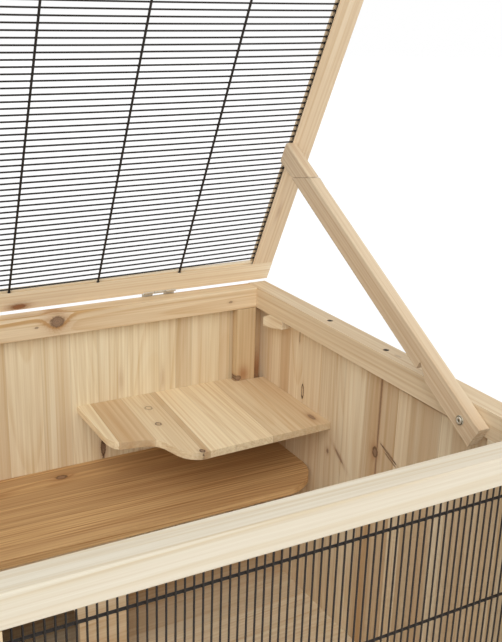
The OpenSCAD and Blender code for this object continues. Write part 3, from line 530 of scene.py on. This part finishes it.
# Phosphated wood screw: nearly black, dull, a little brown in the light.
phosphated, add = newMaterial("phosphated steel")
grit = add("TexNoise", {"Vector": add("TexCoord").outputs["Object"], "Scale": 1100.0, "Detail": 2.0})
add("OutputMaterial", {"Surface": add("BsdfPrincipled", {
    "Base Color": add("Mix", {0: grit, 6: linear("#2E2722"), 7: linear("#4B423B")}, data_type="RGBA"),
    "Metallic": 0.8, "Roughness": 0.6, "Normal": add("Bump", {"Strength": 0.2, "Distance": 0.00005, "Height": grit})})})

# Black powder-coated wire: satin, a little uneven over the welds.
coated, add = newMaterial("black powder-coated wire")
grit = add("TexNoise", {"Vector": add("TexCoord").outputs["Object"], "Scale": 700.0, "Detail": 2.0})
add("OutputMaterial", {"Surface": add("BsdfPrincipled", {
    "Base Color": add("Mix", {0: grit, 6: linear("#1C1714"), 7: linear("#2E2823")}, data_type="RGBA"),
    "Roughness": add("MapRange", (grit, 0.3, 0.7, 0.42, 0.56)), "IOR": 1.5, "Specular IOR Level": 0.3,
    "Normal": add("Bump", {"Strength": 0.2, "Distance": 0.00006, "Height": grit})})})

# Pressed wool felt: matt, fibrous, no shine.
feltCloth, add = newMaterial("pressed grey felt")
hair = add("TexNoise", {"Vector": add("TexCoord").outputs["Object"], "Scale": 1400.0, "Detail": 4.0, "Distortion": 1.5})
add("OutputMaterial", {"Surface": add("BsdfPrincipled", {
    "Base Color": add("Mix", {0: hair, 6: linear("#4A4743"), 7: linear("#75706A")}, data_type="RGBA"),
    "Roughness": 0.95, "IOR": 1.45, "Sheen Weight": 0.3,
    "Normal": add("Bump", {"Strength": 0.6, "Distance": 0.0003, "Height": hair})})})
print("materials: metals and felt")

for name in ("lid_hinge_fixed_leaves", "lid_hinge_pins", "lid_hinge_moving_leaves", "door_hinge_fixed_leaves",
             "door_hinge_pins", "door_hinge_moving_leaves", "strut_washer"):
    nodes[name].data.materials.clear()
    nodes[name].data.materials.append(zinc)
    easeEdges(nodes[name], alongX, 0.2, cut=1.0)


# The plain mesh that a tree makes from some points and values.
def grow(tree, points, values):
    made = bpy.data.objects.new(tree.name, points)
    bpy.context.scene.collection.objects.link(made)
    modifier = made.modifiers.new(tree.name, "NODES")
    modifier.node_group = tree
    for label, value in values.items():
        setInput(modifier, label, value)
    bpy.context.view_layer.update()
    mesh = bpy.data.meshes.new_from_object(made.evaluated_get(bpy.context.evaluated_depsgraph_get()))
    bpy.data.objects.remove(made)
    return mesh


def keepPiece(name, mesh, body, finish, slot, *stoodFor):
    piece = bpy.data.objects.new(name, mesh)
    bpy.context.scene.collection.objects.link(piece)
    if not mesh.materials:
        mesh.materials.append(finish)
    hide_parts(*stoodFor)
    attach(piece, body)


# A wood screw: a low domed head cut by a cross recess, on a plain shank. The input's points carry the seats.
screwTree, add, given = newTree(
    "cross-recess screws", "GeometryNodeTree",
    {"Geometry": "Geometry", "Facing": (0, 0, 1), "Head radius": 0.003, "Dome": 0.0015,
     "Shank radius": 0.0015, "Shank length": 0.001, "Seed": 4, "Finish": "Material"},
    {"Geometry": "Geometry"})
dome = add("MeshUVSphere", {"Segments": 24, "Rings": 12, "Radius": 1.0})
domeSize = add("CombineXYZ", (given["Head radius"], given["Head radius"], given["Dome"]))
dome = add("Transform", {"Geometry": dome, "Scale": domeSize})
wide = add("Math", (given["Head radius"], 3.0), operation="MULTIPLY")
keepUpper = add("MeshCube", {"Size": add("CombineXYZ", (wide, wide, wide))})
halfWide = add("Math", (wide, 0.5), operation="MULTIPLY")
keepUpper = add("Transform", {"Geometry": keepUpper, "Translation": add("CombineXYZ", (0.0, 0.0, halfWide))})
head = add("MeshBoolean", {"Mesh 2": [dome, keepUpper]}, operation="INTERSECT")
armLong = add("Math", (given["Head radius"], 1.1), operation="MULTIPLY")
armThin = add("Math", (given["Head radius"], 0.24), operation="MULTIPLY")
armDeep = add("Math", (given["Dome"], 1.5), operation="MULTIPLY")
armLift = add("CombineXYZ", (0.0, 0.0, given["Dome"]))
for turn in (0.0, math.pi / 2):
    arm = add("MeshCube", {"Size": add("CombineXYZ", (armLong, armThin, armDeep))})
    arm = add("Transform", {"Geometry": arm, "Translation": armLift, "Rotation": (0.0, 0.0, turn)})
    head = add("MeshBoolean", {"Mesh 1": head, "Mesh 2": arm}, operation="DIFFERENCE")
shank = add("MeshCylinder", {"Vertices": 16, "Radius": given["Shank radius"], "Depth": given["Shank length"]})
drop = add("Math", (given["Shank length"], -0.5), operation="MULTIPLY")
shank = add("Transform", {"Geometry": shank, "Translation": add("CombineXYZ", (0.0, 0.0, drop))})
screw = add("JoinGeometry", ([head, shank],))
spin = add("RandomValue", {"Seed": given["Seed"]}, data_type="FLOAT")
spin = add("CombineXYZ", (0.0, 0.0, add("Math", (spin, 3.1), operation="MULTIPLY")))
turned = add("AlignRotationToVector", {"Vector": given["Facing"]}, axis="Z")
spin = add("EulerToRotation", (spin,))
turned = add("RotateRotation", {"Rotation": turned, "Rotate By": spin}, rotation_space="LOCAL")
placed = add("InstanceOnPoints", {"Points": given["Geometry"], "Instance": screw, "Rotation": turned})
placed = add("RealizeInstances", (placed,))
placed = add("SetMaterial", {"Geometry": placed, "Material": given["Finish"]})
add("GroupOutput", (placed,))

# One entry for each set of screws: the way its heads face, sizes in mm, finish and body.
leafScrew = {"head": 3.0, "dome": 1.5, "shank": 1.55, "finish": zinc}
screwSets = {
    "rail_screws": {"facing": Vector((0, 0, 1)), "head": 4.0, "dome": 0.7, "shank": 2.0, "finish": phosphated,
                    "body": "box"},
    "fixed_leaf_screws": dict(leafScrew, facing=Vector((0, 1, 0)), body="box"),
    "post_leaf_screws": dict(leafScrew, facing=Vector((0, -1, 0)), body="box"),
    "turn_button_screw": {"facing": Vector((0, -1, 0)), "head": 4.0, "dome": 2.2, "shank": 1.95, "finish": zinc,
                          "body": "box"},
    "lid_leaf_screws": dict(leafScrew, facing=lidTurn @ Vector((0, 0, 1)), body="lid"),
    "door_leaf_screws": dict(leafScrew, facing=Vector((0, -1, 0)), body="door"),
}


screwSpan = 8.5 * mm  # wider than any screw, and less than the way from one to the next


# The seats are found in the CAD node: its points fall into one cluster for each screw.
def seatsOf(name, facing):
    clusters = []
    for vertex in nodes[name].data.vertices:
        point = Vector(vertex.co)
        flat = point - facing * point.dot(facing)
        near = next((c for c in clusters if (c["flat"] - flat).length < screwSpan), None)
        if near is None:
            near = {"flat": flat, "points": []}
            clusters.append(near)
        near["points"].append(point)
    seats = []
    for cluster in clusters:
        points = cluster["points"]
        heights = [p.dot(facing) for p in points]
        middle = Vector([(min(p[i] for p in points) + max(p[i] for p in points)) / 2 for i in range(3)])
        seats.append((middle - facing * middle.dot(facing), min(heights), max(heights)))
    return seats


for name, sizes in screwSets.items():
    facing = sizes["facing"].normalized()
    seats = seatsOf(name, facing)
    points = bpy.data.meshes.new(name + "_seats")
    points.from_pydata([tuple(flat + facing * (top - sizes["dome"] * mm)) for flat, _, top in seats], [], [])
    length = seats[0][2] - seats[0][1] - sizes["dome"] * mm
    mesh = grow(screwTree, points, {
        "Facing": tuple(facing), "Head radius": sizes["head"] * mm, "Dome": sizes["dome"] * mm,
        "Shank radius": sizes["shank"] * mm, "Shank length": length, "Seed": len(seats), "Finish": sizes["finish"]})
    keepPiece(name + "_heads", mesh, sizes["body"], sizes["finish"], "steel", name)
    print("screws:", name, len(seats))

# The prop's bolt: a flat round head with a turned ring in its face, on a smooth shank. Its face is drawn from the
# axis outwards, by how far out and how proud it is, in mm. The recess inside the ring and the rim round it have
# painted shade.
bolt = {"x": 529.5, "y": -189.2, "z": 482.9, "shank": 2.5, "end": 563.5, "unshaded ring": (1.6, 4.0),
        "face": [(0.0, 0.4), (1.5, 0.4), (1.7, 1.2), (2.1, 1.5), (3.5, 1.5), (3.9, 1.3), (4.1, 0.6), (4.9, 0.6),
                 (5.1, 0.4), (5.1, 0.0)]}
profile = [(bolt["x"] - rise, radius) for radius, rise in bolt["face"]]
profile += [(bolt["x"], bolt["shank"]), (bolt["end"], bolt["shank"]), (bolt["end"], 0.0)]
turning = bmesh.new()
row = [turning.verts.new((x * mm, 0, radius * mm)) for x, radius in profile]
for near, far in zip(row, row[1:]):
    turning.edges.new((near, far))
bmesh.ops.spin(turning, geom=turning.verts[:] + turning.edges[:], cent=(0, 0, 0), axis=alongX, angle=math.tau, steps=40,
               use_merge=True)
bmesh.ops.remove_doubles(turning, verts=turning.verts, dist=0.005 * mm)
bmesh.ops.recalc_face_normals(turning, faces=turning.faces)
bmesh.ops.translate(turning, verts=turning.verts, vec=(0, bolt["y"] * mm, bolt["z"] * mm))
boltMesh = bpy.data.meshes.new("prop_bolt")
turning.to_mesh(boltMesh)
turning.free()
boltMesh.polygons.foreach_set("use_smooth", [True] * len(boltMesh.polygons))
boltMesh.materials.append(zinc)
boltMesh.materials.append(zincPaintedShade)
for polygon in boltMesh.polygons:  # the recess inside the ring and the rim round it get painted shade, a darker zinc
    out = math.hypot(polygon.center.y / mm - bolt["y"], polygon.center.z / mm - bolt["z"])
    if polygon.center.x / mm < bolt["x"] and not bolt["unshaded ring"][0] < out < bolt["unshaded ring"][1]:
        polygon.material_index = 1
boltMesh.set_sharp_from_angle(angle=math.radians(35))
keepPiece("prop_bolt", boltMesh, "box", zinc, "steel", "strut_pivot_bolt")

# Punched felt discs: soft shoulders and an uneven, hairy edge.
bumper = {"spots": [(-561, -582.5), (561, -582.5)], "radius": 7.0, "low": -5.8, "high": -2.4, "steps": 18, "around": 48,
          "shoulder": 1.1, "face": 5.4, "fuzz": 0.16, "ripple": 0.1}
fuzzDraw = random.Random(11)
felt = bmesh.new()
tall, ripple = bumper["high"] - bumper["low"], bumper["ripple"]
for x, y in bumper["spots"]:
    layers = []
    for step in range(bumper["steps"] + 1):
        onSide = 0 < step < bumper["steps"]
        turn = math.pi * step / bumper["steps"]
        out = bumper["face"]
        if onSide:
            out = bumper["radius"] - bumper["shoulder"] + bumper["shoulder"] * math.sin(turn) ** 0.5
        lift = bumper["low"] + tall * (1 - math.cos(turn)) / 2
        layers.append([felt.verts.new(((x + (out + fuzzDraw.uniform(-1, 1) * bumper["fuzz"]) * math.cos(a)) * mm,
                                       (y + (out + fuzzDraw.uniform(-1, 1) * bumper["fuzz"]) * math.sin(a)) * mm,
                                       (lift + (fuzzDraw.uniform(-ripple, ripple) if onSide else 0)) * mm))
                       for a in (math.tau * i / bumper["around"] for i in range(bumper["around"]))])
    for below, above in zip(layers, layers[1:]):
        for i in range(bumper["around"]):
            j = (i + 1) % bumper["around"]
            felt.faces.new((below[i], below[j], above[j], above[i]))
    felt.faces.new(layers[0][::-1])
    felt.faces.new(layers[-1])
bmesh.ops.recalc_face_normals(felt, faces=felt.faces)
felt.transform(lidPlace)
feltMesh = bpy.data.meshes.new("felt_discs")
felt.to_mesh(feltMesh)
felt.free()
feltMesh.polygons.foreach_set("use_smooth", [len(p.vertices) == 4 for p in feltMesh.polygons])
keepPiece("felt_discs", feltMesh, "lid", feltCloth, "felt", "lid_bumpers")
print("prop bolt and felt bumpers")

# Thin wires lie side by side on cross wires and are welded to them. Every wire ends in a small drop of coating; these
# dark drops along the frame also stand in for the shade in the groove the wires end in.
# x runs along the thin wires, y across them, and the cross wires lie at z = 0. All in metres.
lattice, add, given = newTree(
    "welded wires", "GeometryNodeTree",
    {"Thin wire": 0.002, "Thin count": 10, "Thin pitch": 0.008, "First thin": 0.0,
     "Left": 0.0, "Right": 0.1, "Cross wire": 0.003, "Cross count": 3,
     "Cross pitch": 0.12, "First cross": 0.0, "Low": 0.0, "High": 0.1,
     "Bow": 0.0, "Tuck": 0.0, "Sway": 0.0004, "Seed": 0.0, "Finish": "Material"},
    {"Geometry": "Geometry"})
lift = add("Math", (given["Thin wire"], given["Cross wire"]), operation="ADD")
lift = add("Math", (lift, 0.5, 0.00002), operation="MULTIPLY_ADD")  # both radii and a hair more
firstThin = add("CombineXYZ", (0.0, given["First thin"], lift))
stepThin = add("CombineXYZ", (0.0, given["Thin pitch"], 0.0))
thinSpots = add("MeshLine", {"Count": given["Thin count"], "Start Location": firstThin, "Offset": stepThin})
thinFrom = add("CombineXYZ", (given["Left"], 0.0, 0.0))
thinTo = add("CombineXYZ", (given["Right"], 0.0, 0.0))
thinLine = add("CurvePrimitiveLine", {"Start": thinFrom, "End": thinTo})
thinLine = add("ResampleCurve", {"Curve": thinLine, "Count": 24})
firstCross = add("CombineXYZ", (given["First cross"], 0.0, 0.0))
stepCross = add("CombineXYZ", (given["Cross pitch"], 0.0, 0.0))
crossSpots = add("MeshLine", {"Count": given["Cross count"], "Start Location": firstCross, "Offset": stepCross})
crossFrom = add("CombineXYZ", (0.0, given["Low"], 0.0))
crossTo = add("CombineXYZ", (0.0, given["High"], 0.0))
crossLine = add("CurvePrimitiveLine", {"Start": crossFrom, "End": crossTo})
crossLine = add("ResampleCurve", {"Curve": crossLine, "Count": 16})
reach = add("SeparateXYZ", (add("InputPosition"),))
reach = add("Math", (reach.outputs["X"], given["Right"]), operation="DIVIDE")
reach = add("Math", (reach, reach), operation="MULTIPLY")
reach = add("Math", (1.0, reach), operation="SUBTRACT")
reach = add("Math", (reach, given["Bow"]), operation="MULTIPLY")
bowed = add("CombineXYZ", (0.0, reach, 0.0))
wires = []
for spots, line, size in ((thinSpots, thinLine, "Thin wire"), (crossSpots, crossLine, "Cross wire")):
    run = add("RealizeInstances", (add("InstanceOnPoints", {"Points": spots, "Instance": line}),))
    where = add("InputPosition")
    where = add("VectorMath", (where, (9.0, 9.0, 9.0)), operation="MULTIPLY")
    sway = add("TexNoise", {"Vector": where, "W": given["Seed"], "Scale": 1.0, "Detail": 1.0}, noise_dimensions="4D")
    sway = add("VectorMath", (sway.outputs["Color"], (0.5, 0.5, 0.5)), operation="SUBTRACT")
    sway = add("VectorMath", (sway, (0.0, 1.0, 0.0) if size == "Thin wire" else (1.0, 0.0, 0.0)), operation="MULTIPLY")
    sway = add("VectorMath", {0: sway, "Scale": given["Sway"]}, operation="SCALE")
    run = add("SetPosition", {"Geometry": run, "Offset": sway})
    if size == "Thin wire":
        run = add("SetPosition", {"Geometry": run, "Offset": bowed})
    half = add("Math", (given[size], 0.5), operation="MULTIPLY")
    ringLine = add("CurvePrimitiveCircle", {"Resolution": 8, "Radius": half})
    run = add("CurveToMesh", {"Curve": run, "Profile Curve": ringLine, "Fill Caps": True})
    wires.append(run)
weldLift = add("Math", (given["Cross wire"], 0.42), operation="MULTIPLY")
weldRow = add("CombineXYZ", (0.0, given["First thin"], weldLift))
weldRow = add("MeshLine", {"Count": given["Thin count"], "Start Location": weldRow, "Offset": stepThin})
weldGrid = add("InstanceOnPoints", {"Points": crossSpots, "Instance": weldRow})
weldGrid = add("RealizeInstances", (weldGrid,))
bead = add("MeshUVSphere", {"Segments": 8, "Rings": 4, "Radius": given["Thin wire"]})
weldGrid = add("SetPosition", {"Geometry": weldGrid, "Offset": bowed})
weldBeads = add("InstanceOnPoints", {"Points": weldGrid, "Instance": bead, "Scale": (0.8, 0.65, 0.6)})
wires.append(add("RealizeInstances", (weldBeads,)))
# The dark drops at the wire ends: drops of coating, and also painted shade for the frame's groove.
for end, inward in (("Left", 1.0), ("Right", -1.0)):
    mouth = add("Math", (given["Tuck"], inward, given[end]), operation="MULTIPLY_ADD")
    tip = add("CombineXYZ", (mouth, given["First thin"], lift))
    tips = add("MeshLine", {"Count": given["Thin count"], "Start Location": tip, "Offset": stepThin})
    tips = add("InstanceOnPoints", {"Points": tips, "Instance": bead, "Scale": (0.7, 0.75, 0.7)})
    wires.append(add("RealizeInstances", (tips,)))
for end, inward in (("Low", 1.0), ("High", -1.0)):
    mouth = add("Math", (given["Tuck"], inward, given[end]), operation="MULTIPLY_ADD")
    foot = add("CombineXYZ", (given["First cross"], mouth, 0.0))
    feet = add("MeshLine", {"Count": given["Cross count"], "Start Location": foot, "Offset": stepCross})
    drop = add("MeshUVSphere", {"Segments": 8, "Rings": 5, "Radius": given["Cross wire"]})
    feet = add("InstanceOnPoints", {"Points": feet, "Instance": drop, "Scale": (0.75, 0.25, 0.5)})
    wires.append(add("RealizeInstances", (feet,)))
wires = add("SetShadeSmooth", {0: add("JoinGeometry", (wires,)), "Shade Smooth": True})
wires = add("RealizeInstances", (wires,))
add("GroupOutput", (add("SetMaterial", {"Geometry": wires, "Material": given["Finish"]}),))


def wireGrille(name, body, place, parts):
    whole = bmesh.new()
    for sizes in parts:
        mesh = grow(lattice, bpy.data.meshes.new("lattice"), dict(sizes, Finish=coated))
        mesh.transform(place)
        whole.from_mesh(mesh)
        bpy.data.meshes.remove(mesh)
    mesh = bpy.data.meshes.new(name + "_wires")
    whole.to_mesh(mesh)
    whole.free()
    keepPiece(name + "_wires", mesh, body, coated, "wire", name)


# The lid's wires end in a groove of its frame, 3.6 mm deep. The thin ones have bowed a few millimetres towards
# the hinges, most in the middle.
lidWires = {"Thin wire": 0.0021, "Thin count": 62, "Thin pitch": -0.00842, "First thin": -0.0404, "Left": -0.5451,
            "Right": 0.5451, "Cross wire": 0.003, "Cross count": 9, "Cross pitch": -0.12, "First cross": 0.425,
            "Low": -0.5651, "High": -0.0288, "Bow": 0.0065, "Tuck": 0.0034}
# Two edge cross wires run along the stiles. Being dark, they also stand in for the shade line of the groove.
lidEdge = dict(lidWires, **{"Thin count": 0, "Cross count": 2, "Cross pitch": -1.0872, "First cross": 0.5436})
wireGrille("lid_grille", "lid", lidPlace @ Matrix.Translation((0, 0, 0.0002)), [lidWires, lidEdge])


def uprightPlace(y):
    return Matrix.Translation((0, y, 0)) @ Matrix(((0, 0, 1), (-1, 0, 0), (0, -1, 0))).transposed().to_4x4()


frontWires = {"Thin count": 64, "Thin pitch": -0.00842, "First thin": -0.010795, "Left": 0.1505, "Right": 0.4775,
              "Cross count": 3, "Cross pitch": 0.12, "First cross": 0.194, "Low": -0.5545, "High": -0.00625,
              "Seed": 3.0}
frontLow = dict(frontWires, **{"Thin count": 0, "Cross count": 1, "First cross": 0.1525})
frontHigh = dict(frontLow, **{"First cross": 0.4755, "Low": -0.5458})
wireGrille("front_grille", "box", uprightPlace(-0.26788), [frontWires, frontLow, frontHigh])
doorWires = {"Thin count": 56, "Thin pitch": 0.00842, "First thin": 0.048825, "Left": 0.1875, "Right": 0.4405,
             "Cross count": 3, "Cross pitch": 0.12, "First cross": 0.194, "Low": 0.04325, "High": 0.5175, "Seed": 6.0}
doorEdges = dict(doorWires, **{"Thin count": 0, "Cross count": 2, "Cross pitch": 0.249, "First cross": 0.1895})
wireGrille("door_grille", "door", uprightPlace(-0.28038), [doorWires, doorEdges])
print("wires: lid, front, door")

# What the camera sees of floor and backdrop, straight or in metal, is white; the light on the object stays plain.
studio = {"floor": 14.0, "floor glow": 0.25, "light": 0.52, "backdrop": 1.0}


def seenBackdrop(add):
    rays = add("LightPath").outputs
    seen = add("Math", (rays["Is Camera Ray"], rays["Is Glossy Ray"]), operation="MAXIMUM")
    return add("Math", (seen, rays["Is Transmission Ray"]), operation="MAXIMUM")


ground = bmesh.new()
bmesh.ops.create_grid(ground, x_segments=8, y_segments=8, size=studio["floor"])
groundMesh = bpy.data.meshes.new("studio_floor")
ground.to_mesh(groundMesh)
ground.free()
paper, add = newMaterial("matt white paper")
speck = add("TexNoise", {"Scale": 40.0})
add("OutputMaterial", {"Surface": add("BsdfPrincipled", {
    "Base Color": add("Mix", {0: speck, 6: linear("#E9E9E9"), 7: linear("#EDEDED")}, data_type="RGBA"),
    "Roughness": 0.9, "Emission Color": (1, 1, 1, 1),
    "Emission Strength": add("Math", (seenBackdrop(add), studio["floor glow"]), operation="MULTIPLY")})})
groundMesh.materials.append(paper)
studioFloor = bpy.data.objects.new("studio_floor", groundMesh)
bpy.context.scene.collection.objects.link(studioFloor)
studioFloor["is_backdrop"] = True

world = bpy.data.worlds.new("white studio")
bpy.context.scene.world = world
world.use_nodes = True
world.node_tree.nodes.clear()
add = nodeAdder(world.node_tree)
strength = add("MapRange", (seenBackdrop(add), 0.0, 1.0, studio["light"], studio["backdrop"]))
add("OutputWorld", {"Surface": add("Background", {"Color": (1, 1, 1, 1), "Strength": strength})})

lamps = {"key": {"from": (-0.5, -0.7, 0.55), "power": 1.75, "softness": 55},
         "top": {"from": (0.1, 0.1, 1.0), "power": 0.5, "softness": 90}}
for name, lamp in lamps.items():
    light = bpy.data.lights.new(name, "SUN")
    light.energy = lamp["power"]
    light.angle = math.radians(lamp["softness"])
    holder = bpy.data.objects.new(name, light)
    holder.rotation_euler = Vector(lamp["from"]).to_track_quat("Z", "Y").to_euler()
    bpy.context.scene.collection.objects.link(holder)

view = {"place": (-0.1147, -0.8618, 0.8925), "yaw": 29.9, "pitch": 18.7, "roll": 1.77, "lens": 52.43}
yaw, pitch, roll = (math.radians(view[key]) for key in ("yaw", "pitch", "roll"))
forward = Vector((math.sin(yaw) * math.cos(pitch), math.cos(yaw) * math.cos(pitch), -math.sin(pitch)))
right = Vector((math.cos(yaw), -math.sin(yaw), 0))
up = right.cross(forward)
right, up = math.cos(roll) * right + math.sin(roll) * up, math.cos(roll) * up - math.sin(roll) * right
camera = bpy.data.objects.new("photo_view", bpy.data.cameras.new("photo_view"))
camera.data.lens = view["lens"]
camera.data.clip_start = 0.01
camera.matrix_world = Matrix.Translation(view["place"]) @ Matrix((right, up, -forward)).transposed().to_4x4()
bpy.context.scene.collection.objects.link(camera)
bpy.context.scene.camera = camera
bpy.context.scene.view_settings.view_transform = "Standard"
print("stage set")

sizes = {"cad": [list(corner) for corner in cadBox], "visual": [list(corner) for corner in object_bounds()]}
